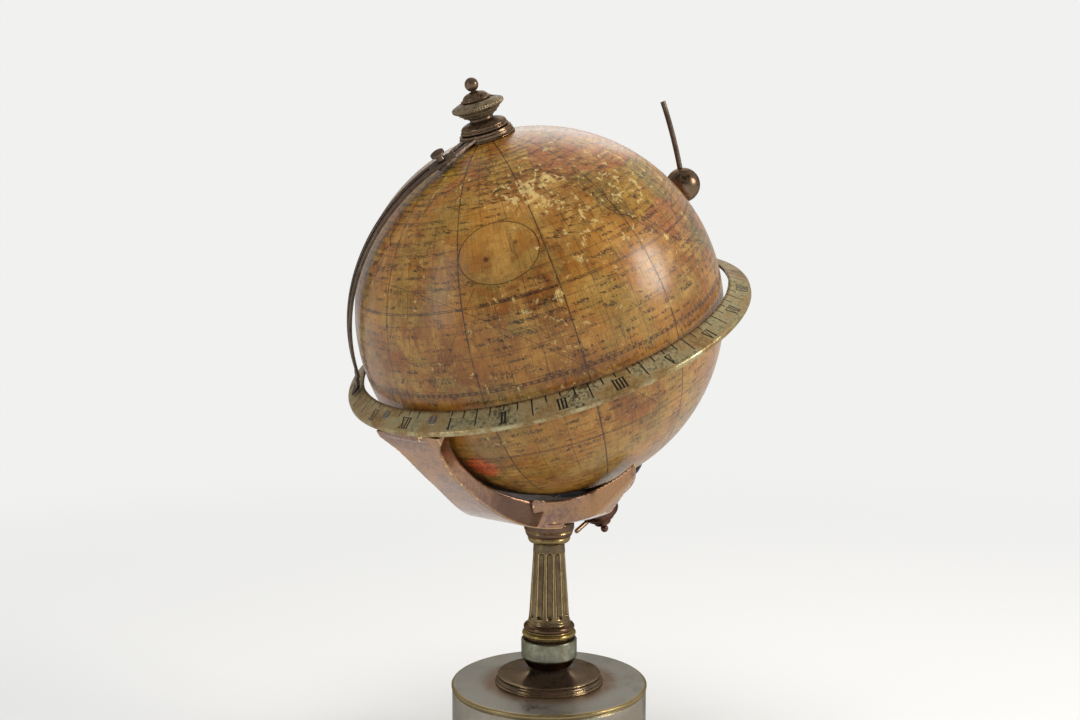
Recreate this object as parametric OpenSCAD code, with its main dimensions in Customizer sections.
// Globe clock: a papered globe turns once a day on a leaning axle, over a fluted column and a drum.
// Origin: centre of the underside of the base, +Z up. The north pole leans to -X.
// Inside polar() the local Z is the polar axis and the local -X is the low side of the hour ring.

/* [Globe] */
// Radius of the papered globe
globe_r = 76; // [62:0.5:92]
// Thickness of the globe's shell
shell_t = 2; // [1.6:0.1:2.4]
// Lean of the polar axis from upright
axis_tilt = 23.5; // [20:0.5:26]
// Offset of the globe's centre from the column, along X
globe_x = -6; // [-8:0.5:-4]

/* [Hour ring] */
// Gap between the globe and the inner edge of the ring
ring_gap = 2.4; // [1.8:0.1:3.5]
// Width of the ring, measured square to the axis
ring_w = 8.1; // [7:0.1:10]
// Fall of the bevelled face from its inner to its outer edge
ring_fall = 4.8; // [3:0.1:6]
// Thickness of the ring along the axis
ring_t = 1.8; // [1.4:0.1:2.4]
// Depth of the ring's inner edge below the equator
ring_drop = 4.7; // [3:0.1:7]
// Angle between each ring screw and the middle of the bracket
ring_screw_angle = 9.3; // [8:0.1:11]

/* [Bracket] */
// Gap between the globe and the bracket
bracket_gap = 3; // [2:0.1:4]
// Thickness of the saddle under the globe
saddle_t = 9.2; // [8:0.1:12]
// Thickness of the arm at its waist
arm_t = 5.6; // [4.5:0.1:7]
// Half width of the arm at its waist
arm_half_w = 10; // [8:0.5:12]
// Half angle of the seat under the hour ring
seat_half_angle = 12.2; // [11.5:0.1:14]
// Reach of each side wing from the middle
wing_span = 54; // [46:0.5:62]
// Thickness left at the wing tips
wing_tip_t = 4; // [3:0.1:6]

/* [Axle and dial] */
// Radius of the fixed axle
axle_r = 2.5; // [2:0.1:3]
// Radius of the minute dial
dial_r = 25; // [22:0.5:28]
// Thickness of the minute dial
dial_t = 1.2; // [0.8:0.1:1.6]
// Wall of the minute hand's pipe
pipe_wall = 0.8; // [0.6:0.1:1.2]
// Radius of the lower knob
knob_r = 8.9; // [7:0.1:10]
// Half length of the lower knob's cross bar
cross_bar_half = 17; // [12:0.5:20]

/* [Hand and finial] */
// Angle of the hand's arm round the axis, from the ring's low side
hand_angle = 0; // [-20:1:20]
// Swing of the hand's strip about its thumbscrew
hand_swing = 36; // [30:1:38]
// Half width of the hand's strip
hand_half_w = 2.9; // [2.4:0.1:3.6]
// Thickness of the hand's strip
hand_t = 1.2; // [0.8:0.1:1.6]
// Radius of the flange at the foot of the finial
finial_foot_r = 11.5; // [10:0.1:13]
// Radius of the knurled nut
nut_r = 10.8; // [9.5:0.1:13]
// Radius of the ball on the finial
finial_ball_r = 2.7; // [2:0.1:3.5]

/* [Winding knob] */
// Radius of the winding ball
winding_ball_r = 7.3; // [6.5:0.1:9]
// Length of the winding lever from the ball's centre
lever_len = 36; // [24:0.5:42]
// Angle of the winding knob round the axis, from the ring's low side
winding_angle = 152.6; // [130:0.2:156]
// Height of the winding knob above the equator, in degrees
winding_lat = 20.3; // [18:0.1:27]

/* [Movement] */
// Module of all the wheels
gear_m = 0.5; // [0.4:0.05:0.55]
// Thickness of the movement's plates
plate_t = 2; // [1.6:0.1:2.4]
// Thickness of the wheels
wheel_t = 1.5; // [1:0.1:2]

/* [Column and base] */
// Radius of the drum
drum_r = 41.8; // [35:0.1:50]
// Height of the drum
drum_h = 44.5; // [38:0.5:60]
// Wall of the drum
drum_wall = 2; // [1.6:0.1:3]
// Thickness of the felt under the base
felt_t = 1.5; // [1:0.1:2.5]
// Radius of the foot disc on the drum
foot_r = 22.4; // [19:0.1:27]
// Radius of the steel collar
collar_r = 11.9; // [10.5:0.1:14]
// Height of the steel collar
collar_h = 12.5; // [10:0.1:15]
// Height of the fluted shaft
shaft_h = 32.9; // [27:0.1:45]
// Radius of the shaft at its top
shaft_top_r = 6.6; // [6:0.1:7.6]
// Radius of the shaft at its foot
shaft_foot_r = 8.7; // [8:0.1:10]
// Number of flutes
flute_count = 12; // [10:1:14]
// Radius of each flute
flute_r = 1.5; // [1.2:0.05:1.6]
// Radius of the capital
capital_r = 10.7; // [9.5:0.1:12]
// Height of the capital
capital_h = 9.1; // [8:0.1:11]
// Radius of the tie rod
tie_r = 2.5; // [2:0.1:3]

/* [Hidden] */
$fn = 72;
fit = 0.05;
hole_clear = 0.1;
body_clear = 0.3;

shell_in = globe_r - shell_t;

// Heights up the column
base_plate_t = 2.5;
drum_top = felt_t + drum_h;
drum_top_t = 2.5;
foot_rim_h = 2.8;
foot_flare_h = 3.6;
foot_h = foot_rim_h + foot_flare_h;
foot_neck_r = 7.2;
collar_z = drum_top + foot_h;
moulding_z = collar_z + collar_h;
moulding_h = 8.2;
shaft_z = moulding_z + moulding_h;
capital_z = shaft_z + shaft_h;
capital_top = capital_z + capital_h;

// Bracket spheres and the place of the globe
saddle_in = globe_r + bracket_gap;
saddle_out = saddle_in + saddle_t;
seat_boss_h = 1.2;
globe_z = capital_top + seat_boss_h + sqrt(pow(saddle_out, 2) - pow(globe_x, 2));

// Hour ring section
ring_in = globe_r + ring_gap;
ring_out = ring_in + ring_w;
bevel_angle = atan(ring_fall / ring_w);
ring_screw_r = ring_in + 0.42 * ring_w;
ring_screw_head_r = 2.1;
ring_screw_shank_r = 1.1;
ring_screw_len = 6;
seat_in = ring_in + 0.9;
seat_out = ring_out - 1;
seat_t = 3.8;
function bevel_z(r) = -ring_drop - ring_fall * (r - ring_in) / ring_w;

// Arm, in a frame whose -Z points out of the globe at arm_mid degrees from the south pole
arm_mid = 58;
arm_top_psi = 82;
arm_foot_psi = 24;
arm_seat_half_w = seat_out * sin(seat_half_angle) - 0.4;
arm_root_half_w = 18.4;
arm_top_x = -(saddle_in + arm_t) * sin(arm_top_psi - arm_mid);
arm_root_x = saddle_in * sin(arm_mid - 34.8);

// Saddle outline, seen from above
wing_front_x = -13.5;
wing_tip_x = -10;
wing_corner = [-21.5, arm_root_half_w + 0.4];
wing_kink_y = 0.7 * wing_span;
wing_w = 9;
tongue_half_w = 18;
tongue_rear_x = 46;
saddle_low = saddle_out + 5;

// South pole levels along the axis, measured from the globe's centre
dial_dish_r = 0.56 * dial_r;
dial_rim_z = -saddle_in - 0.03 * dial_r + 3.55;
dial_dish = 3;
dial_flat_z = dial_rim_z - dial_dish;
knob_seat_z = -saddle_out + 0.8;
knob_neck_r = 5;
knob_mid_z = knob_seat_z - 10.4;
cross_bar_r = 1;
knob_end_z = knob_seat_z - 14.8;
lower_ball_r = 1.7;
lower_ball_z = knob_end_z - 4.6;
axle_low = knob_seat_z - 7.5;
pipe_r = axle_r + fit + pipe_wall;
minute_hand_t = 0.6;
minute_hand_z = dial_flat_z + 0.9;
minute_tip_r = dial_r - 1.5;
south_hole_r = pipe_r + 3.2;

// North pole levels along the axis
axle_top = shell_in - 4;
pole_stud_r = 3.5;
pole_hole_r = 6;
foot_top = globe_r + 0.2;
function cap_z(r) = sqrt(pow(globe_r, 2) - pow(r, 2));
hub_in = globe_r + 1.3;
hub_bot = globe_r + 0.7;
hub_t = 1;
hub_top = hub_in + hub_t;
hub_r = 8;
hand_in = hub_in + hub_t + body_clear;
hand_out = hand_in + hand_t;
bell_bot = hub_top + body_clear;
bell_r = 9.7;
bell_top = bell_bot + 3.9;
bowl_bot = bell_top + 1.3;
rim_bot = bowl_bot + 4.4;
rim_top = rim_bot + 2.2;
stud_top = rim_bot;
cap_r = 6;
cap_h = 3.6;
finial_ball_z = rim_top + cap_h + 0.75 * finial_ball_r + 0.6;

// Hand, in degrees above the equator
thumb_lat = 70.5;
hand_slot_half_w = 0.38 * hand_half_w;
hub_slot_half_w = 1.15;
thumb_stem_r = 0.95;
thumb_head_r = 2.8;
thumb_head_t = 0.9;
thumb_head_z = hand_out + 2.6;
tip_clear = 0.8;
ear_clear = 1.3;

// The strip lies in a plane through the globe's centre. Angles along it run from the thumbscrew.
swing_x = -cos(hand_swing) * cos(thumb_lat);
function strip_z(x, s) = (s - swing_x * x) / sin(thumb_lat);
function strip_out(x, s) = sqrt(pow(x, 2) + pow(strip_z(x, s), 2) - pow(s, 2));
function over_ring(x, clear, s = 0, n = 6) =
    n == 0 ? s : over_ring(x, clear, bevel_z(strip_out(x, s)) + clear, n - 1);
strip_start = -4;
strip_end = atan2(hand_in, strip_z(hand_in, over_ring(hand_in, ear_clear))) - 5;
strip_slot_start = 4;
strip_slot_end = strip_end - 5;

// Winding knob
winding_ball_c = globe_r + 6;
winding_arbor_r = 1.9;
winding_hole_r = 4;
lever_r = 1.1;
lever_bend_r = 200;
lever_rise = 27.4;
lever_turn = -5.5;
ball_flat = globe_r + 1.2;

// Wheel tooth counts
sun_z = 92;
idler_pinion_z = 16;
idler_z = 48;
centre_pinion_z = 12;
centre_z = 40;
barrel_z = 80;
ratchet_z = 24;
pressure = 25;
tooth_thin = 0.12;
addendum = 0.75;
dedendum = 1;

function pitch_r(z) = gear_m * z / 2;

// Places of the arbors round the axis, in the globe's own frame. They turn with the winding knob.
idler_d = pitch_r(sun_z + idler_pinion_z);
centre_d = pitch_r(2 * centre_z);
idler_centre_d = pitch_r(idler_z + centre_pinion_z);
barrel_idler_d = pitch_r(barrel_z + idler_pinion_z);
barrel_d = 1.26 * idler_d;
function side_angle(a, b, c) = acos((a * a + b * b - c * c) / (2 * a * b));
idler_a = winding_angle - 136;
centre_a = idler_a + side_angle(idler_d, centre_d, idler_centre_d);
barrel_a = idler_a - side_angle(idler_d, barrel_d, barrel_idler_d);
function place(d, a) = [d * cos(a), d * sin(a)];
idler_p = place(idler_d, idler_a);
centre_p = place(centre_d, centre_a);
barrel_p = place(barrel_d, barrel_a);
function dir(a, b) = atan2(b[1] - a[1], b[0] - a[0]);

// Levels inside the globe, along the axis
pipe_wheel_z = -0.815 * globe_r;
back_plate_z = pipe_wheel_z + wheel_t + 4.5;
idler_wheel_z = back_plate_z + plate_t + 2;
great_wheel_z = idler_wheel_z + wheel_t + 4.5;
barrel_h = 11;
front_plate_z = great_wheel_z + wheel_t + barrel_h + 3;
sun_wheel_z = front_plate_z + plate_t + 2;
arbor_r = 1.2;
back_plate_r = sqrt(pow(shell_in, 2) - pow(back_plate_z, 2)) - 4;
front_plate_r = 50 / 74 * shell_in;
pillar_r = 2.5;
pillar_ring = 0.5 * globe_r;
pillar_angles = [for (a = [62, 140, 205, 262]) a + idler_a];
foot_angles = [for (a = [20, 140, 260]) a + idler_a];
barrel_wall = 1;
drum_of_barrel_r = pitch_r(barrel_z) - 1.5;
case_z = barrel_d * tan(winding_lat);
case_r = 7.5;
case_tube_r = 4;
unit_r = 11;
unit_a = 128 + idler_a;
unit_p = place(pitch_r(sun_z) + addendum * gear_m + unit_r + 1.2, unit_a);
unit_h = 8;
balance_r = 8.5;
balance_z = front_plate_z + plate_t + unit_h + 2.5;
band_h = 14;

// Shared helpers

module polar() {
    translate([globe_x, 0, globe_z])
        rotate([0, -axis_tilt, 0])
            children();
}

module tube(r_out, r_in, h) {
    difference() {
        cylinder(r = r_out, h = h);
        translate([0, 0, -1]) cylinder(r = r_in, h = h + 2);
    }
}

// A point on a three-point curve
function bend(a, b, c, t) = (1 - t) * (1 - t) * a + 2 * t * (1 - t) * b + t * t * c;
function curve(a, b, c, n) = [for (i = [0:n]) bend(a, b, c, i / n)];
function mirror_y(points) = [for (i = [len(points) - 1:-1:0]) [points[i][0], -points[i][1]]];

// A quarter round, from angle a0 to a1
function round_points(c, r, a0, a1, n) = [
    for (i = [0:n]) [c[0] + r * cos(a0 + (a1 - a0) * i / n), c[1] + r * sin(a0 + (a1 - a0) * i / n)]
];

function at(r, a) = [r * cos(a), r * sin(a)];
function rad(t) = t * PI / 180;
function involute(t) = t - atan(rad(t));
function roll(r, base) = r > base ? sqrt(pow(r / base, 2) - 1) * 180 / PI : 0;

// One tooth of a wheel with z teeth, centred on angle a
function tooth(z, a) =
    let (
        p = pitch_r(z),
        base = p * cos(pressure),
        tip = p + addendum * gear_m,
        root = p - dedendum * gear_m,
        half = 90 / z * (1 - tooth_thin) + tan(pressure) * 180 / PI - pressure,
        t0 = roll(root, base),
        t1 = roll(tip, base),
        rolls = [for (i = [0:3]) t0 + (t1 - t0) * i / 3]
    )
    concat(
        root < base ? [at(root, a - half)] : [],
        [for (t = rolls) at(base * sqrt(1 + pow(rad(t), 2)), a - half + involute(t))],
        [for (i = [3:-1:0]) at(base * sqrt(1 + pow(rad(rolls[i]), 2)), a + half - involute(rolls[i]))],
        root < base ? [at(root, a + half)] : []
    );

// A toothed disc with a tooth centred on angle a
module gear(z, a, h) {
    outline = [for (i = [0:z - 1], q = tooth(z, a + 360 * i / z)) q];
    linear_extrude(h) polygon(outline);
}

// A spoked wheel with a bore
module wheel(z, a, h, bore, spokes = 4) {
    rim = pitch_r(z) - dedendum * gear_m - 1.6;
    hub = bore + 1.6;
    difference() {
        gear(z, a, h);
        translate([0, 0, -1]) cylinder(r = bore, h = h + 2);
        if (rim > hub + 3)
            translate([0, 0, -1])
                difference() {
                    tube(rim, hub, h + 2);
                    for (i = [0:spokes - 1])
                        rotate([0, 0, 360 * i / spokes])
                            translate([0, -0.9, -1]) cube([rim + 1, 1.8, h + 4]);
                }
    }
}

// Base and column

screw_ring = drum_r - 7;
module base_screw_places() {
    for (i = [0:2])
        rotate([0, 0, 60 + 120 * i]) translate([screw_ring, 0, 0]) children();
}

module felt_pad() {
    color("darkgreen")
        difference() {
            cylinder(r = drum_r - 1.2, h = felt_t);
            base_screw_places() translate([0, 0, -1]) cylinder(r = 3.2, h = felt_t + 2);
        }
}

module base_plate() {
    color("peru")
        difference() {
            translate([0, 0, felt_t]) cylinder(r = drum_r - drum_wall - hole_clear, h = base_plate_t);
            base_screw_places()
                translate([0, 0, felt_t - 1]) cylinder(r = 1.6, h = base_plate_t + 2);
        }
}

module base_screws() {
    color("dimgray")
        base_screw_places() {
            translate([0, 0, felt_t]) cylinder(r = 1.5, h = base_plate_t + 6);
            translate([0, 0, felt_t - 1]) cylinder(r = 2.8, h = 1);
        }
}

module drum_shell() {
    bead_r = 0.9;
    top = drum_top;
    low = felt_t;
    profile = concat(
        [[tie_r + hole_clear, top], [tie_r + hole_clear, top - drum_top_t]],
        [[drum_r - drum_wall, top - drum_top_t], [drum_r - drum_wall, low]],
        [[drum_r, low]],
        [[drum_r, low + 0.8]],
        round_points([drum_r, low + 0.8 + bead_r], bead_r * 0.8, -90, 90, 6),
        [[drum_r, low + 3.4], [drum_r - 0.35, low + 3.6], [drum_r - 0.35, top - 3]],
        [[drum_r - 0.35, top - 2.4], [drum_r - 0.9, top - 2.2], [drum_r - 0.9, top - 1.9]],
        round_points([drum_r - bead_r, top - bead_r], bead_r, -80, 90, 8),
        [[drum_r - 1.9, top]]
    );
    color("rosybrown") {
        rotate_extrude($fn = 96) polygon(profile);
        base_screw_places()
            translate([0, 0, felt_t + base_plate_t])
                difference() {
                    union() {
                        cylinder(r = 3.2, h = 10);
                        translate([0, -3.2, 0]) cube([drum_r - screw_ring - drum_wall + 0.5, 6.4, 10]);
                    }
                    translate([0, 0, -1]) cylinder(r = 1.6, h = 8.5);
                }
    }
}

module ballast_disc() {
    color("slategray")
        translate([0, 0, felt_t + base_plate_t])
            tube(screw_ring - 4.5, 8, 12);
}

module foot_disc() {
    z = drum_top;
    lip_r = foot_r + 0.7;
    profile = concat(
        [[tie_r + hole_clear, z + foot_h], [tie_r + hole_clear, z]],
        [[lip_r, z], [lip_r, z + 0.5], [foot_r - 0.4, z + 0.8], [foot_r - 0.4, z + 1.2], [foot_r, z + 1.4]],
        [[foot_r, z + foot_rim_h - 0.3], [foot_r - 0.3, z + foot_rim_h]],
        curve([foot_r - 1.6, z + foot_rim_h], [foot_neck_r + 2.4, z + foot_rim_h + 0.2],
              [foot_neck_r, z + foot_h], 10)
    );
    color("sienna")
        rotate_extrude($fn = 96) polygon(profile);
}

module steel_collar() {
    chamfer_h = 4.2;
    z = collar_z;
    profile = [
        [tie_r + hole_clear, z], [foot_neck_r + 0.2, z], [foot_neck_r + 0.5, z + 0.7],
        [collar_r - 2.4, z + 0.9], [collar_r - 0.5, z + chamfer_h], [collar_r, z + chamfer_h + 0.7],
        [collar_r, z + collar_h - 0.4], [collar_r - 0.4, z + collar_h], [tie_r + hole_clear, z + collar_h]
    ];
    color("slategray")
        rotate_extrude($fn = 96) polygon(profile);
}

module base_moulding() {
    z = moulding_z;
    r = collar_r - 0.4;
    profile = concat(
        [[tie_r + hole_clear, z], [r - 0.8, z], [r - 0.8, z + 1.3]],
        round_points([r - 1, z + 2.3], 1, -90, 90, 6),
        [[r - 1.3, z + 3.4], [r - 1.3, z + 3.7]],
        round_points([r - 2, z + 5], 1.4, -70, 80, 7),
        [[r - 2.3, z + 6.6], [r - 2.5, z + 6.8], [r - 2.6, z + moulding_h], [tie_r + hole_clear, z + moulding_h]]
    );
    color("darkgoldenrod")
        rotate_extrude($fn = 96) polygon(profile);
}

module column_shaft() {
    z0 = shaft_z + 2.6;
    z1 = shaft_z + shaft_h - 5;
    slope = (shaft_foot_r - shaft_top_r) / shaft_h;
    r0 = shaft_foot_r - slope * (z0 - shaft_z) + 0.25 * flute_r;
    color("darkgoldenrod")
        difference() {
            translate([0, 0, shaft_z]) cylinder(r1 = shaft_foot_r, r2 = shaft_top_r, h = shaft_h);
            translate([0, 0, shaft_z - 1]) cylinder(r = tie_r + hole_clear, h = shaft_h + 2);
            for (i = [0:flute_count - 1])
                rotate([0, 0, (i + 0.5) * 360 / flute_count])
                    translate([r0, 0, z0])
                        rotate([0, -atan(slope), 0]) flute((z1 - z0) / cos(atan(slope)));
        }
}

// A round-ended rod that cuts one flute
module flute(len) {
    profile = concat(
        round_points([0, 0], flute_r, -90, 0, 4),
        round_points([0, len], flute_r, 0, 90, 4)
    );
    rotate_extrude($fn = 24) polygon(profile);
}

module capital() {
    z = capital_z;
    r = capital_r;
    k = capital_h;
    profile = concat(
        [[tie_r + hole_clear, z], [shaft_top_r + 0.2, z]],
        curve([shaft_top_r + 0.3, z + 0.1], [r - 1.8, z + 0.3], [r - 1.6, z + 0.26 * k], 5),
        [[r - 1.9, z + 0.28 * k], [r - 1.9, z + 0.32 * k]],
        curve([r - 1.4, z + 0.33 * k], [r - 0.7, z + 0.42 * k], [r - 0.5, z + 0.56 * k], 5),
        [[r - 0.8, z + 0.58 * k], [r - 0.8, z + 0.62 * k], [r - 0.2, z + 0.64 * k]],
        [[r, z + 0.7 * k], [r, z + k - 0.4], [r - 0.4, z + k], [tie_r + hole_clear, z + k]]
    );
    color("darkgoldenrod")
        rotate_extrude($fn = 96) polygon(profile);
}

tie_low = drum_top - drum_top_t - 9;
tie_top = capital_top + 6.5;
module tie_rod() {
    color("gray")
        translate([0, 0, tie_low]) cylinder(r = tie_r, h = tie_top - tie_low);
}

module tie_washer() {
    color("gray")
        translate([0, 0, drum_top - drum_top_t - 1.3]) tube(8, tie_r + hole_clear, 1.3);
}

module tie_nut() {
    color("gray")
        translate([0, 0, drum_top - drum_top_t - 1.3 - 4])
            difference() {
                cylinder(r = 4.6, h = 4, $fn = 6);
                translate([0, 0, -1]) cylinder(r = tie_r + fit, h = 6);
            }
}

// Bracket and hour ring

function wing_outline() = concat(
    [[wing_corner[0] - 6, 0], [wing_corner[0] - 6, wing_corner[1] - 2]],
    curve(wing_corner, [wing_front_x, wing_corner[1] + 6], [wing_front_x, wing_span - 16], 8),
    [[wing_tip_x - 0.6, wing_span - 1], [wing_tip_x + 0.2, wing_span], [wing_tip_x + 1.4, wing_span - 0.3]],
    curve([wing_tip_x + 2.2, wing_span - 1.2], [wing_front_x + wing_w, wing_span - 16],
          [wing_front_x + wing_w + 4, tongue_half_w + 8], 8),
    curve([wing_front_x + wing_w + 4.6, tongue_half_w + 6.6], [wing_front_x + wing_w + 7, tongue_half_w],
          [wing_front_x + wing_w + 18, tongue_half_w], 7),
    curve([tongue_rear_x - 15, tongue_half_w], [tongue_rear_x, tongue_half_w - 1], [tongue_rear_x, 0], 10)
);

module saddle() {
    half = wing_outline();
    kink = [wing_kink_y, -sqrt(pow(saddle_out, 2) - pow(wing_kink_y, 2))];
    tip = [wing_span, -sqrt(pow(saddle_in + wing_tip_t, 2) - pow(wing_span, 2))];
    out = tip + (tip - kink) * 0.8;
    side = [
        [-kink[0], -saddle_low], [kink[0], -saddle_low], kink, out, [out[0], 0],
        [-out[0], 0], [-out[0], out[1]], [-kink[0], kink[1]]
    ];
    intersection() {
        translate([globe_x, 0, globe_z]) sphere(r = saddle_out);
        translate([0, 0, globe_z - saddle_low])
            linear_extrude(saddle_low - 20) polygon(concat(half, mirror_y(half)));
        translate([-40, 0, globe_z]) rotate([90, 0, 90]) linear_extrude(110) polygon(side);
    }
}

// Radius of the arm's outer face at psi degrees from the south pole: an ogee
function ease(t) = t <= 0 ? 0 : t >= 1 ? 1 : t * t * (3 - 2 * t);
function arm_out(psi) =
    saddle_in + arm_t + (saddle_t - arm_t) * ease((62 - psi) / 24) + 1.2 * ease((psi - 72) / 10);

module arm() {
    in_r = saddle_in - 1;
    psis = [for (i = [0:22]) arm_foot_psi + (arm_top_psi - arm_foot_psi) * i / 22];
    profile = concat(
        [for (p = psis) [-arm_out(p) * sin(p), -arm_out(p) * cos(p)]],
        [for (i = [11:-1:0]) [-in_r * sin(psis[2 * i]), -in_r * cos(psis[2 * i])]]
    );
    neck = [-10, arm_half_w];
    half = concat(
        [[arm_top_x - 8, 0], [arm_top_x - 8, arm_seat_half_w], [arm_top_x + 1.5, arm_seat_half_w]],
        curve([arm_top_x + 2.5, arm_seat_half_w], [arm_top_x + 9, arm_half_w + 0.5], neck, 9),
        curve([neck[0] + 6, arm_half_w], [arm_root_x - 16, arm_half_w + 1], [arm_root_x, arm_root_half_w], 9),
        [[arm_root_x + 14, arm_root_half_w], [arm_root_x + 14, 0]]
    );
    polar() intersection() {
        rotate([90, 0, 0]) translate([0, 0, -25]) linear_extrude(50) polygon(profile);
        rotate([0, arm_mid, 0]) translate([0, 0, -saddle_low])
            linear_extrude(saddle_low - 40) polygon(concat(half, mirror_y(half)));
    }
}

module ring_seat() {
    outer = seat_out;
    profile = [
        [seat_in - 2, bevel_z(seat_in - 2) - ring_t],
        [outer, bevel_z(outer) - ring_t],
        [outer, bevel_z(outer) - ring_t - seat_t + 0.6],
        [outer - 0.8, bevel_z(outer) - ring_t - seat_t],
        [seat_in - 2, bevel_z(seat_in - 2) - ring_t - seat_t - 2]
    ];
    reach = ring_out + 10;
    w = reach * tan(seat_half_angle);
    polar() intersection() {
        rotate_extrude($fn = 96) polygon(profile);
        translate([0, 0, -60]) linear_extrude(80) polygon([[-20, 0], [-reach, w], [-reach, -w]]);
    }
}

// Places square to the bevel, at a distance out and an angle from the ring's low side
module on_bevel(r, a) {
    rotate([0, 0, 180 + a])
        translate([r, 0, bevel_z(r)])
            rotate([0, bevel_angle, 0])
                children();
}

module ring_screw_places() {
    for (s = [-1, 1]) polar() on_bevel(ring_screw_r, s * ring_screw_angle) children();
}

module dial_recess() {
    low = dial_flat_z - dial_t;
    rim = dial_rim_z - dial_t;
    profile = [
        [0, low], [dial_dish_r, low], [dial_r + hole_clear, rim],
        [dial_r + hole_clear, rim + 8], [0, rim + 8]
    ];
    polar() rotate_extrude($fn = 96) polygon(profile);
}

module bracket() {
    color("sienna")
        difference() {
            union() {
                saddle();
                arm();
                ring_seat();
                translate([0, 0, capital_top]) cylinder(r = capital_r - 0.6, h = 6);
            }
            translate([globe_x, 0, globe_z]) sphere(r = saddle_in);
            dial_recess();
            polar() {
                translate([0, 0, -saddle_low]) cylinder(r = axle_r + fit, h = 40);
                translate([0, 0, -saddle_low - 5]) cylinder(r = knob_r + 2, h = saddle_low + 5 + knob_seat_z);
            }
            translate([0, 0, capital_top - 1]) cylinder(r = tie_r + fit, h = tie_top - capital_top + 1.5);
            ring_screw_places() translate([0, 0, -9]) cylinder(r = ring_screw_shank_r + hole_clear, h = 12);
        }
}

module hour_ring() {
    profile = [
        [ring_in, bevel_z(ring_in)], [ring_out - 0.3, bevel_z(ring_out - 0.3)],
        [ring_out, bevel_z(ring_out) - 0.35], [ring_out, bevel_z(ring_out) - ring_t],
        [ring_in, bevel_z(ring_in) - ring_t]
    ];
    color("darkkhaki")
        difference() {
            polar() rotate_extrude($fn = 144) polygon(profile);
            ring_screw_places() {
                translate([0, 0, -5]) cylinder(r = ring_screw_shank_r + hole_clear, h = 10);
                translate([0, 0, -1.1]) cylinder(r1 = ring_screw_shank_r, r2 = ring_screw_head_r + 0.1, h = 1.2);
            }
        }
}

module ring_screws() {
    color("goldenrod")
        ring_screw_places()
            difference() {
                union() {
                    translate([0, 0, -ring_screw_len]) cylinder(r = ring_screw_shank_r, h = ring_screw_len - 0.5);
                    translate([0, 0, -1.1])
                        cylinder(r1 = ring_screw_shank_r, r2 = ring_screw_head_r, h = 1.1);
                }
                translate([-3, -0.25, -0.4]) cube([6, 0.5, 1]);
            }
}

// Axle, minute work and lower knob

module axle() {
    color("lightslategray")
        polar() translate([0, 0, axle_low]) cylinder(r = axle_r, h = axle_top - axle_low);
}

// Carries the weight of the globe under the back plate
module axle_collar() {
    h = 2.5;
    color("lightslategray")
        polar() translate([0, 0, back_plate_z - h - fit]) tube(axle_r + 2.4, axle_r + fit, h);
}

module sun_wheel() {
    color("gold")
        polar() translate([0, 0, sun_wheel_z]) {
            wheel(sun_z, idler_a, wheel_t, axle_r + fit, 5);
            translate([0, 0, wheel_t]) tube(axle_r + 2.2, axle_r + fit, 4);
        }
}

module minute_dial() {
    flat = dial_flat_z;
    rim = dial_rim_z;
    profile = [
        [axle_r + 1.6, flat - dial_t], [dial_dish_r, flat - dial_t], [dial_r, rim - dial_t],
        [dial_r, rim], [dial_dish_r, flat], [axle_r + 1.6, flat]
    ];
    color("darkslategray")
        polar() rotate_extrude($fn = 96) polygon(profile);
}

module minute_pipe() {
    low = dial_flat_z + 0.3;
    color("gold")
        polar() {
            translate([0, 0, low]) tube(pipe_r, axle_r + fit, pipe_wheel_z + wheel_t - low);
            translate([0, 0, pipe_wheel_z])
                wheel(centre_z, dir(centre_p, [0, 0]) + 180 + 180 / centre_z, wheel_t, axle_r + fit);
        }
}

module minute_hand() {
    z = minute_hand_z;
    t = minute_hand_t;
    profile = [
        [pipe_r + fit, z], [dial_dish_r, z], [minute_tip_r, z + dial_dish * 0.86],
        [minute_tip_r, z + dial_dish * 0.86 + t], [dial_dish_r, z + t], [pipe_r + fit, z + t]
    ];
    outline = concat(
        [[0, -1], [9, -1], [11, -2.2], [13, -2.4], [15, -1.6], [minute_tip_r + 1, -0.3]],
        [[minute_tip_r + 1, 0.3], [15, 1.6], [13, 2.4], [11, 2.2], [9, 1], [0, 1]]
    );
    color("black")
        polar() rotate([0, 0, 250])
            intersection() {
                rotate_extrude($fn = 72) polygon(profile);
                translate([0, 0, z - 2])
                    linear_extrude(10)
                        union() {
                            circle(r = pipe_r + 2);
                            polygon(outline);
                        }
            }
}

module lower_knob() {
    s = knob_seat_z - hole_clear;
    r = knob_r;
    profile = concat(
        [[0, s - 8], [axle_r + fit, s - 8], [axle_r + fit, s], [knob_neck_r, s], [knob_neck_r, s - 1.6]],
        [[knob_neck_r + 1.4, s - 1.8], [knob_neck_r + 1.4, s - 2.6]],
        curve([r - 1.6, s - 3.2], [r, s - 4.6], [r, s - 8.4], 7),
        curve([r, s - 9.4], [r - 0.3, s - 11.4], [r - 2.2, s - 12.2], 5),
        [[r - 2.2, s - 12.6], [r - 2.8, s - 13.4], [0.42 * r, s - 13.8], [0.42 * r + 0.3, s - 14.4]],
        [[0.42 * r, s - 16.2], [0.2 * r, s - 16.8], [0.6, s - 17.6]],
        round_points([0, lower_ball_z], lower_ball_r, 70, -90, 8)
    );
    color("saddlebrown")
        difference() {
            polar() rotate_extrude($fn = 72) polygon(profile);
            polar() translate([-knob_r - 2, 0, knob_mid_z])
                rotate([0, 90, 0]) cylinder(r = cross_bar_r + fit, h = 2 * knob_r + 4);
        }
}

module cross_bar() {
    color("saddlebrown")
        polar() translate([-cross_bar_half, 0, knob_mid_z])
            rotate([0, 90, 0]) cylinder(r = cross_bar_r, h = 2 * cross_bar_half);
}

// Globe

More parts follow.
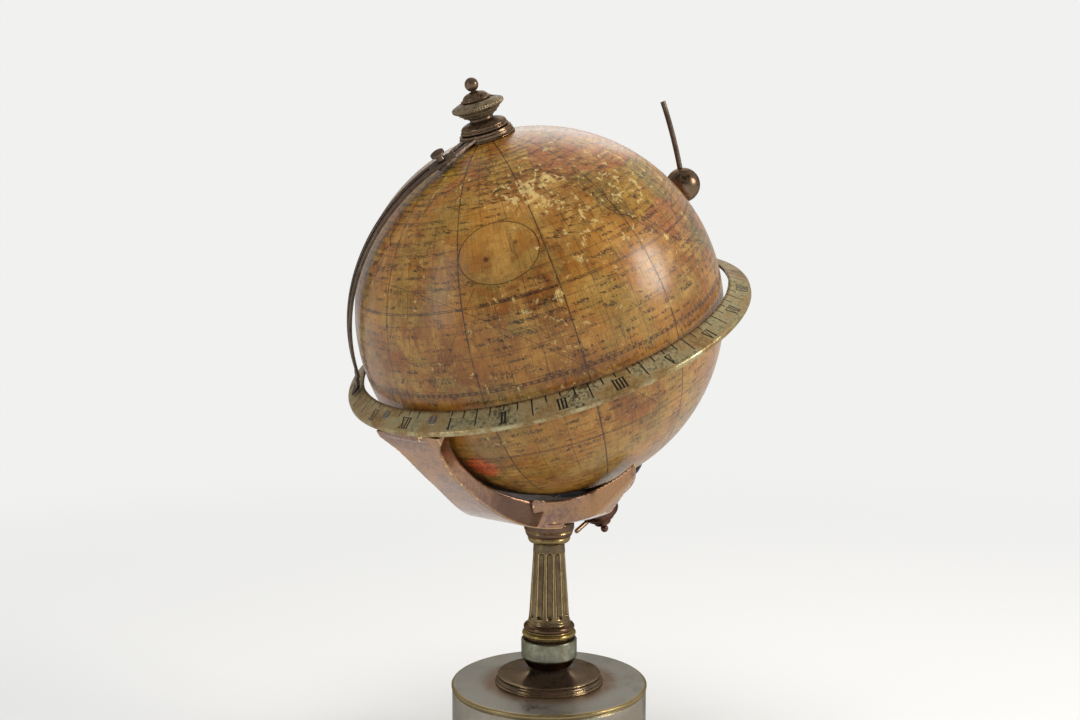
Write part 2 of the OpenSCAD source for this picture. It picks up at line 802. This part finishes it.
module half_shell(up) {
    intersection() {
        difference() {
            sphere(r = globe_r, $fn = 144);
            sphere(r = shell_in, $fn = 144);
        }
        translate([-globe_r - 1, -globe_r - 1, up ? fit : -globe_r - 1])
            cube([2 * globe_r + 2, 2 * globe_r + 2, globe_r + 1 - fit]);
    }
}

// Local Z runs out of the globe along the winding arbor
module winding_axis() {
    rotate([0, 0, 180 + winding_angle])
        rotate([0, 90 - winding_lat, 0])
            children();
}

module north_shell() {
    color("burlywood")
        polar() difference() {
            half_shell(true);
            cylinder(r = pole_hole_r, h = globe_r + 5);
            winding_axis() translate([0, 0, shell_in - 8]) cylinder(r = winding_hole_r, h = 20);
        }
}

module south_shell() {
    color("burlywood")
        polar() difference() {
            half_shell(false);
            translate([0, 0, -globe_r - 5]) cylinder(r = south_hole_r, h = 20);
        }
}

module equator_band() {
    r = sqrt(pow(shell_in, 2) - pow(band_h / 2, 2)) - 0.1;
    color("silver")
        polar() translate([0, 0, -band_h / 2]) tube(r, r - 1.4, band_h);
}

module pole_bush() {
    in_flange = sqrt(pow(shell_in, 2) - 81) - 0.3;
    profile = [
        [axle_r + fit, axle_top - 8], [6, axle_top - 8], [6, in_flange - 2], [9, in_flange - 2],
        [9, in_flange], [pole_hole_r - hole_clear, in_flange],
        [pole_hole_r - hole_clear, cap_z(pole_hole_r) + hole_clear],
        [finial_foot_r - 0.5, cap_z(finial_foot_r - 0.5) + hole_clear],
        [finial_foot_r, cap_z(finial_foot_r) + 0.4], [finial_foot_r - 0.4, foot_top],
        [pole_stud_r, foot_top], [pole_stud_r, stud_top], [0, stud_top],
        [0, axle_top + 0.3], [axle_r + fit, axle_top + 0.3]
    ];
    color("saddlebrown")
        polar() rotate_extrude($fn = 72) polygon(profile);
}

module south_bush() {
    r = south_hole_r;
    z = -sqrt(pow(shell_in, 2) - pow(r + 3, 2)) + 0.3;
    color("saddlebrown")
        polar() {
            translate([0, 0, z]) tube(r + 3, pipe_r + 0.6, 1.6);
            translate([0, 0, -globe_r + 0.2]) tube(r - hole_clear, pipe_r + 0.6, z + globe_r);
        }
}

// Hand, finial and thumbscrew

// Local X runs from the pole towards the hand's tip
module hand_axis() {
    polar() rotate([0, 0, 180 + hand_angle]) children();
}

// A band of the sphere between two radii, cut to a flat outline seen along the axis
module sphere_band(r_in, r_out) {
    difference() {
        sphere(r = r_out, $fn = 144);
        sphere(r = r_in, $fn = 144);
    }
}

module hand_hub() {
    arm_r = hub_in * cos(thumb_lat) + 3;
    color("dimgray")
        hand_axis() difference() {
            union() {
                translate([0, 0, hub_bot]) cylinder(r = hub_r, h = hub_top - hub_bot);
                intersection() {
                    sphere_band(hub_in, hub_top);
                    translate([0, 0, 20]) linear_extrude(80)
                        polygon(concat(
                            [[4, -4.4], [arm_r - 9, -3.2]],
                            round_points([arm_r - 2.6, 0], 2.6, -80, 80, 10),
                            [[arm_r - 9, 3.2], [4, 4.4]]
                        ));
                }
            }
            translate([0, 0, hub_bot - 1]) cylinder(r = pole_stud_r + fit, h = 10);
            translate([0, 0, 20]) linear_extrude(80) {
                translate([12.5, -hub_slot_half_w]) square([arm_r - 18.6, 2 * hub_slot_half_w]);
                translate([12.5, 0]) circle(r = hub_slot_half_w, $fn = 24);
                translate([arm_r - 6.1, 0]) circle(r = hub_slot_half_w, $fn = 24);
            }
            rotate([0, 90 - thumb_lat, 0])
                translate([0, 0, hub_in - 2]) cylinder(r = thumb_stem_r + fit, h = 6);
        }
}

// Local Z runs out through the thumbscrew and the strip lies over local +X
module strip_axis() {
    hand_axis() rotate([0, 90 - thumb_lat, 0]) rotate([0, 0, -hand_swing]) children();
}

module strip_slice(a, b, half_w) {
    mid = (a + b) / 2;
    rotate([90, 0, 0]) translate([0, 0, -half_w]) linear_extrude(2 * half_w)
        polygon([[0, 0], at(140, 90 - a), at(140, 90 - mid), at(140, 90 - b)]);
}

module hand_pointer() {
    w = hand_half_w;
    color("dimgray")
        strip_axis() difference() {
            union() {
                intersection() {
                    sphere_band(hand_in, hand_out);
                    union() {
                        strip_slice(strip_start + 1.5, strip_end + 1, w);
                        strip_slice(strip_start, strip_start + 3, w - 1);
                    }
                }
                pointer_spear();
            }
            intersection() {
                sphere_band(hand_in - 1, hand_out + 1);
                strip_slice(strip_slot_start, strip_slot_end, hand_slot_half_w);
            }
            translate([0, 0, hand_in - 2]) cylinder(r = thumb_stem_r + fit, h = 6);
        }
}

// Ears, notches and the spear that points at the ring, bent to lie over its bevel
module pointer_spear() {
    w = hand_half_w;
    x0 = hand_in * sin(strip_end);
    z0 = hand_in * cos(strip_end);
    x1 = hand_in;
    z1 = strip_z(x1, over_ring(x1, ear_clear));
    x2 = ring_in + 0.55 * ring_w;
    z2 = strip_z(x2, over_ring(x2, tip_clear));
    side = [
        [x0, z0], [hand_out * sin(strip_end), hand_out * cos(strip_end)],
        [x1 + hand_t * 0.7, z1 + hand_t], [x2 + 0.3, z2 + 0.35], [x2, z2], [x1, z1]
    ];
    outline = [
        [z0 + 1, w], [z0 - 0.8, w], [z0 - 1.5, 0.5 * w], [z0 - 2.4, 0.5 * w], [z0 - 3.2, 1.25 * w],
        [z0 - 4.6, 0.85 * w], [z1 - 0.3, 0.4 * w], [z2 - 0.2, 0.1 * w]
    ];
    intersection() {
        rotate([90, 0, 0]) translate([0, 0, -6]) linear_extrude(12) polygon(side);
        rotate([0, 90, 0]) linear_extrude(120)
            polygon(concat([for (q = outline) [-q[0], q[1]]], mirror_y([for (q = outline) [-q[0], q[1]]])));
    }
}

module thumbscrew() {
    color("dimgray")
        hand_axis() rotate([0, 90 - thumb_lat, 0]) {
            translate([0, 0, hub_in + 0.2]) cylinder(r = thumb_stem_r, h = thumb_head_z - hub_in);
            translate([0, 0, hand_out + body_clear])
                cylinder(r1 = 1.7, r2 = 1.3, h = thumb_head_z - hand_out - body_clear);
            translate([0, 0, thumb_head_z]) cylinder(r = thumb_head_r, h = thumb_head_t);
        }
}

module finial_bell() {
    b = bell_bot;
    t = bell_top;
    profile = concat(
        [[pole_stud_r + fit, b], [bell_r - 0.4, b], [bell_r, b + 0.4], [bell_r, b + 0.9]],
        [[bell_r - 0.7, b + 1.2], [bell_r - 0.5, b + 1.5]],
        curve([bell_r - 0.5, b + 1.9], [bell_r - 1.2, t - 0.6], [6, t - 0.2], 6),
        [[5.2, t], [4.7, t + 0.4], [4.7, bowl_bot], [pole_stud_r + fit, bowl_bot]]
    );
    color("saddlebrown")
        polar() rotate_extrude($fn = 72) polygon(profile);
}

module knurled_nut() {
    b = bowl_bot;
    knurls = 60;
    depth = 0.28;
    profile = concat(
        [[pole_stud_r + fit, b], [5.2, b], [5.6, b + 0.5], [6.8, b + 0.9], [7, b + 1.4]],
        [[8.2, b + 2.2], [8.4, b + 2.7]],
        curve([9, b + 3], [nut_r - 0.4, b + 3.6], [nut_r, rim_bot], 4),
        [[nut_r, rim_top - 0.5], [nut_r - 0.6, rim_top]],
        [[cap_r + 1.6, rim_top], [cap_r + 1.2, rim_top - 0.5], [pole_stud_r + fit, rim_top - 0.5]]
    );
    star = [
        for (i = [0:2 * knurls - 1])
            at(i % 2 == 0 ? nut_r + 0.1 : nut_r - depth, 180 * i / knurls)
    ];
    color("saddlebrown")
        polar() intersection() {
            rotate_extrude($fn = 72) polygon(profile);
            translate([0, 0, b - 1]) linear_extrude(rim_top - b + 2) polygon(star);
        }
}

module finial_cap() {
    b = rim_top - 0.5;
    profile = concat(
        [[0, b], [cap_r - 0.6, b], [cap_r - 0.6, b + 0.7], [cap_r, b + 0.9], [cap_r, b + 1.3]],
        curve([cap_r - 0.8, b + 1.6], [cap_r - 1.6, b + cap_h - 0.2], [2.4, b + cap_h], 5),
        [[1.9, b + cap_h + 0.2], [1.1, b + cap_h + 0.5], [1.1, finial_ball_z - 0.86 * finial_ball_r]],
        round_points([0, finial_ball_z], finial_ball_r, -62, 90, 10)
    );
    color("saddlebrown")
        polar() rotate_extrude($fn = 72) polygon(profile);
}

// Winding work

module winding_ball() {
    color("saddlebrown")
        polar() winding_axis() difference() {
            translate([0, 0, winding_ball_c]) sphere(r = winding_ball_r);
            translate([0, 0, ball_flat - 20]) cylinder(r = 20, h = 20);
            translate([0, 0, ball_flat - 1]) cylinder(r = winding_arbor_r + fit, h = 5);
            lever_sweep(lever_r + fit, lever_len);
        }
}

// The lever leaves the ball's middle, leans out of the globe and bends back along it
module lever_sweep(r, len) {
    start = 2;
    arc = (len - start) / lever_bend_r * 180 / PI;
    translate([0, 0, winding_ball_c])
        rotate([0, 0, 180 + lever_turn])
            rotate([90, -lever_rise, 0])
                translate([start, -lever_bend_r, 0])
                    rotate([0, 0, 90 - arc])
                        rotate_extrude(angle = arc, $fn = 144)
                            translate([lever_bend_r, 0]) circle(r = r, $fn = 24);
}

module winding_lever() {
    color("black")
        polar() winding_axis() lever_sweep(lever_r, lever_len);
}

module winding_arbor() {
    low = barrel_d / cos(winding_lat) + 3;
    color("lightslategray")
        polar() winding_axis() translate([0, 0, low])
            cylinder(r = winding_arbor_r, h = ball_flat + 3.5 - low);
}

module winding_bush() {
    z = sqrt(pow(shell_in, 2) - 36) - 0.3;
    color("saddlebrown")
        polar() winding_axis() {
            translate([0, 0, z - 2]) tube(6, winding_arbor_r + fit, 2);
            translate([0, 0, z - 2]) tube(winding_hole_r - hole_clear, winding_arbor_r + fit, globe_r + 2.2 - z);
        }
}

// Closed case of the right-angle drive, on a tube over the barrel arbor
module winding_case() {
    z0 = front_plate_z + plate_t + 4;
    color("darkgoldenrod")
        polar() difference() {
            union() {
                translate([barrel_p[0], barrel_p[1], z0]) cylinder(r = case_tube_r, h = case_z - z0);
                translate([barrel_p[0], barrel_p[1], case_z]) sphere(r = case_r);
                winding_axis() translate([0, 0, barrel_d / cos(winding_lat)])
                    cylinder(r = case_tube_r, h = case_r + 3);
                for (s = [0:2])
                    translate([barrel_p[0], barrel_p[1], z0 - 4])
                        rotate([0, 0, 90 + idler_a + 120 * s]) translate([8, -1.5, 0]) cube([3, 3, 5.5]);
                translate([barrel_p[0], barrel_p[1], z0]) cylinder(r = 11, h = 1.5);
            }
            translate([barrel_p[0], barrel_p[1], z0 - 5]) cylinder(r = arbor_r + 0.3 + fit, h = case_z - z0 + 3);
            winding_axis() translate([0, 0, barrel_d / cos(winding_lat) + 2])
                cylinder(r = winding_arbor_r + fit, h = 20);
        }
}

// Movement

module plate(r, z) {
    difference() {
        translate([0, 0, z]) cylinder(r = r, h = plate_t);
        translate([0, 0, z - 1]) cylinder(r = axle_r + fit, h = plate_t + 2);
        for (p = [idler_p, centre_p])
            translate([p[0], p[1], z - 1]) cylinder(r = arbor_r + fit, h = plate_t + 2);
    }
}

module back_plate() {
    color("gold")
        polar() difference() {
            plate(back_plate_r, back_plate_z);
            translate([barrel_p[0], barrel_p[1], back_plate_z - 1]) cylinder(r = 1.5 + fit, h = plate_t + 2);
        }
}

module front_plate() {
    color("gold")
        polar() difference() {
            plate(front_plate_r, front_plate_z);
            translate([barrel_p[0], barrel_p[1], front_plate_z - 1]) cylinder(r = 1.5 + fit, h = plate_t + 2);
        }
}

module plate_pillars() {
    z = back_plate_z + plate_t;
    color("goldenrod")
        polar()
            for (a = pillar_angles)
                rotate([0, 0, a]) translate([pillar_ring, 0, z]) cylinder(r = pillar_r, h = front_plate_z - z);
}

module movement_feet() {
    color("goldenrod")
        polar() intersection() {
            sphere(r = shell_in - 3 * fit);
            for (a = foot_angles)
                rotate([0, 0, a]) translate([front_plate_r - 5, -4, front_plate_z - 3])
                    cube([shell_in - front_plate_r + 5, 8, 3]);
        }
}

module idler_arbor() {
    low = back_plate_z + 0.3;
    top = sun_wheel_z + wheel_t + 0.5;
    tooth_a = dir([0, 0], idler_p) + 180 + 180 / idler_pinion_z;
    barrel_tooth_a = dir(barrel_p, idler_p) + 180 + 180 / idler_pinion_z;
    color("silver")
        polar() translate([idler_p[0], idler_p[1], 0]) {
            translate([0, 0, low]) cylinder(r = arbor_r, h = top - low);
            translate([0, 0, front_plate_z + plate_t + 0.5])
                gear(idler_pinion_z, tooth_a, sun_wheel_z + wheel_t - front_plate_z - plate_t - 0.5);
            translate([0, 0, great_wheel_z - 0.5]) gear(idler_pinion_z, barrel_tooth_a, wheel_t + 1);
        }
}

module idler_wheel() {
    color("gold")
        polar() translate([idler_p[0], idler_p[1], idler_wheel_z])
            wheel(idler_z, dir(idler_p, centre_p), wheel_t, arbor_r + fit);
}

module centre_arbor() {
    low = pipe_wheel_z - 0.5;
    color("silver")
        polar() translate([centre_p[0], centre_p[1], 0]) {
            translate([0, 0, low]) cylinder(r = arbor_r, h = front_plate_z + plate_t - 0.3 - low);
            translate([0, 0, idler_wheel_z - 0.5])
                gear(centre_pinion_z, dir(idler_p, centre_p) + 180 + 180 / centre_pinion_z, wheel_t + 1);
        }
}

module centre_wheel() {
    color("gold")
        polar() translate([centre_p[0], centre_p[1], pipe_wheel_z])
            wheel(centre_z, dir(centre_p, [0, 0]), wheel_t, arbor_r + fit);
}

module barrel() {
    color("gold")
        polar() translate([barrel_p[0], barrel_p[1], great_wheel_z])
            difference() {
                union() {
                    gear(barrel_z, dir(barrel_p, idler_p), wheel_t);
                    cylinder(r = drum_of_barrel_r, h = wheel_t + barrel_h - 1.2);
                }
                translate([0, 0, wheel_t]) cylinder(r = drum_of_barrel_r - barrel_wall, h = barrel_h + 2);
                translate([0, 0, -1]) cylinder(r = 1.5 + fit, h = wheel_t + 3);
            }
}

module barrel_cover() {
    color("goldenrod")
        polar() translate([barrel_p[0], barrel_p[1], great_wheel_z + wheel_t + barrel_h - 1.2])
            tube(drum_of_barrel_r, 1.5 + fit, 1.2);
}

// A flat ribbon wound in a spiral
module mainspring() {
    turns = 5;
    steps = 20;
    r0 = 4;
    r1 = drum_of_barrel_r - barrel_wall - 0.7;
    t = 0.5;
    n = turns * steps;
    outer = [for (i = [0:n]) at(r0 + (r1 - r0) * i / n + t / 2, 360 * i / steps)];
    inner = [for (i = [n:-1:0]) at(r0 + (r1 - r0) * i / n - t / 2, 360 * i / steps)];
    color("steelblue")
        polar() translate([barrel_p[0], barrel_p[1], great_wheel_z + wheel_t + 0.2])
            linear_extrude(barrel_h - 1.8) polygon(concat(outer, inner));
}

module barrel_arbor() {
    low = back_plate_z + 0.3;
    color("silver")
        polar() translate([barrel_p[0], barrel_p[1], 0]) {
            translate([0, 0, low]) cylinder(r = 1.5, h = case_z - 3 - low);
            translate([0, 0, great_wheel_z + wheel_t + 0.3]) cylinder(r = 2.6, h = barrel_h - 2);
        }
}

function ratchet_points(n, r, deep) = [for (i = [0:n - 1], k = [0, 1]) at(r - k * deep, 360 * (i + k * 0.12) / n)];

module ratchet_wheel() {
    color("silver")
        polar() translate([barrel_p[0], barrel_p[1], front_plate_z + plate_t + 0.3])
            difference() {
                rotate([0, 0, idler_a]) linear_extrude(1.5) polygon(ratchet_points(ratchet_z, 6, 0.6));
                translate([0, 0, -1]) cylinder(r = 1.5 + fit, h = 4);
            }
}

module click() {
    z = front_plate_z + plate_t;
    color("silver")
        polar() translate([barrel_p[0], barrel_p[1], z])
            rotate([0, 0, 150 + idler_a]) translate([9.4, 0, 0]) {
                difference() {
                    cylinder(r = 1.6, h = 1.5);
                    translate([0, 0, -1]) cylinder(r = 0.6, h = 4);
                }
                linear_extrude(1.5) polygon([[-1, 1], [-3, 2.6], [-2.6, 3.6], [0.5, 1.5]]);
            }
}

module escapement_unit() {
    color("gold")
        polar() translate([unit_p[0], unit_p[1], front_plate_z + plate_t]) cylinder(r = unit_r, h = unit_h);
}

module balance_wheel() {
    color("goldenrod")
        polar() translate([unit_p[0], unit_p[1], balance_z]) {
            tube(balance_r, balance_r - 1.2, 1.2);
            for (a = [0:120:240])
                rotate([0, 0, a]) translate([0, -0.5, 0]) cube([balance_r - 0.6, 1, 1.2]);
            translate([0, 0, -2.2]) cylinder(r = 0.8, h = 5.2);
        }
}

module balance_cock() {
    z = front_plate_z + plate_t + unit_h;
    top = balance_z + 3.3;
    color("gold")
        polar() translate([unit_p[0], unit_p[1], 0])
            rotate([0, 0, unit_a]) difference() {
                union() {
                    translate([balance_r + 0.6, -1.4, z - 4]) cube([3.6, 2.8, top - z + 5.2]);
                    translate([0, -1.4, top]) cube([balance_r + 4.2, 2.8, 1.2]);
                    translate([0, 0, top]) cylinder(r = 2, h = 1.2);
                }
                translate([0, 0, z - 5]) cylinder(r = unit_r + fit, h = 5);
            }
}

felt_pad();
base_plate();
base_screws();
drum_shell();
ballast_disc();
foot_disc();
steel_collar();
base_moulding();
column_shaft();
capital();
tie_rod();
tie_nut();
tie_washer();
bracket();
hour_ring();
ring_screws();
axle();
axle_collar();
sun_wheel();
minute_dial();
minute_pipe();
minute_hand();
lower_knob();
cross_bar();
north_shell();
south_shell();
equator_band();
pole_bush();
south_bush();
hand_hub();
hand_pointer();
thumbscrew();
finial_bell();
knurled_nut();
finial_cap();
winding_ball();
winding_lever();
winding_arbor();
winding_bush();
winding_case();
back_plate();
front_plate();
plate_pillars();
movement_feet();
idler_arbor();
idler_wheel();
centre_arbor();
centre_wheel();
barrel();
barrel_cover();
mainspring();
barrel_arbor();
ratchet_wheel();
click();
escapement_unit();
balance_wheel();
balance_cock();
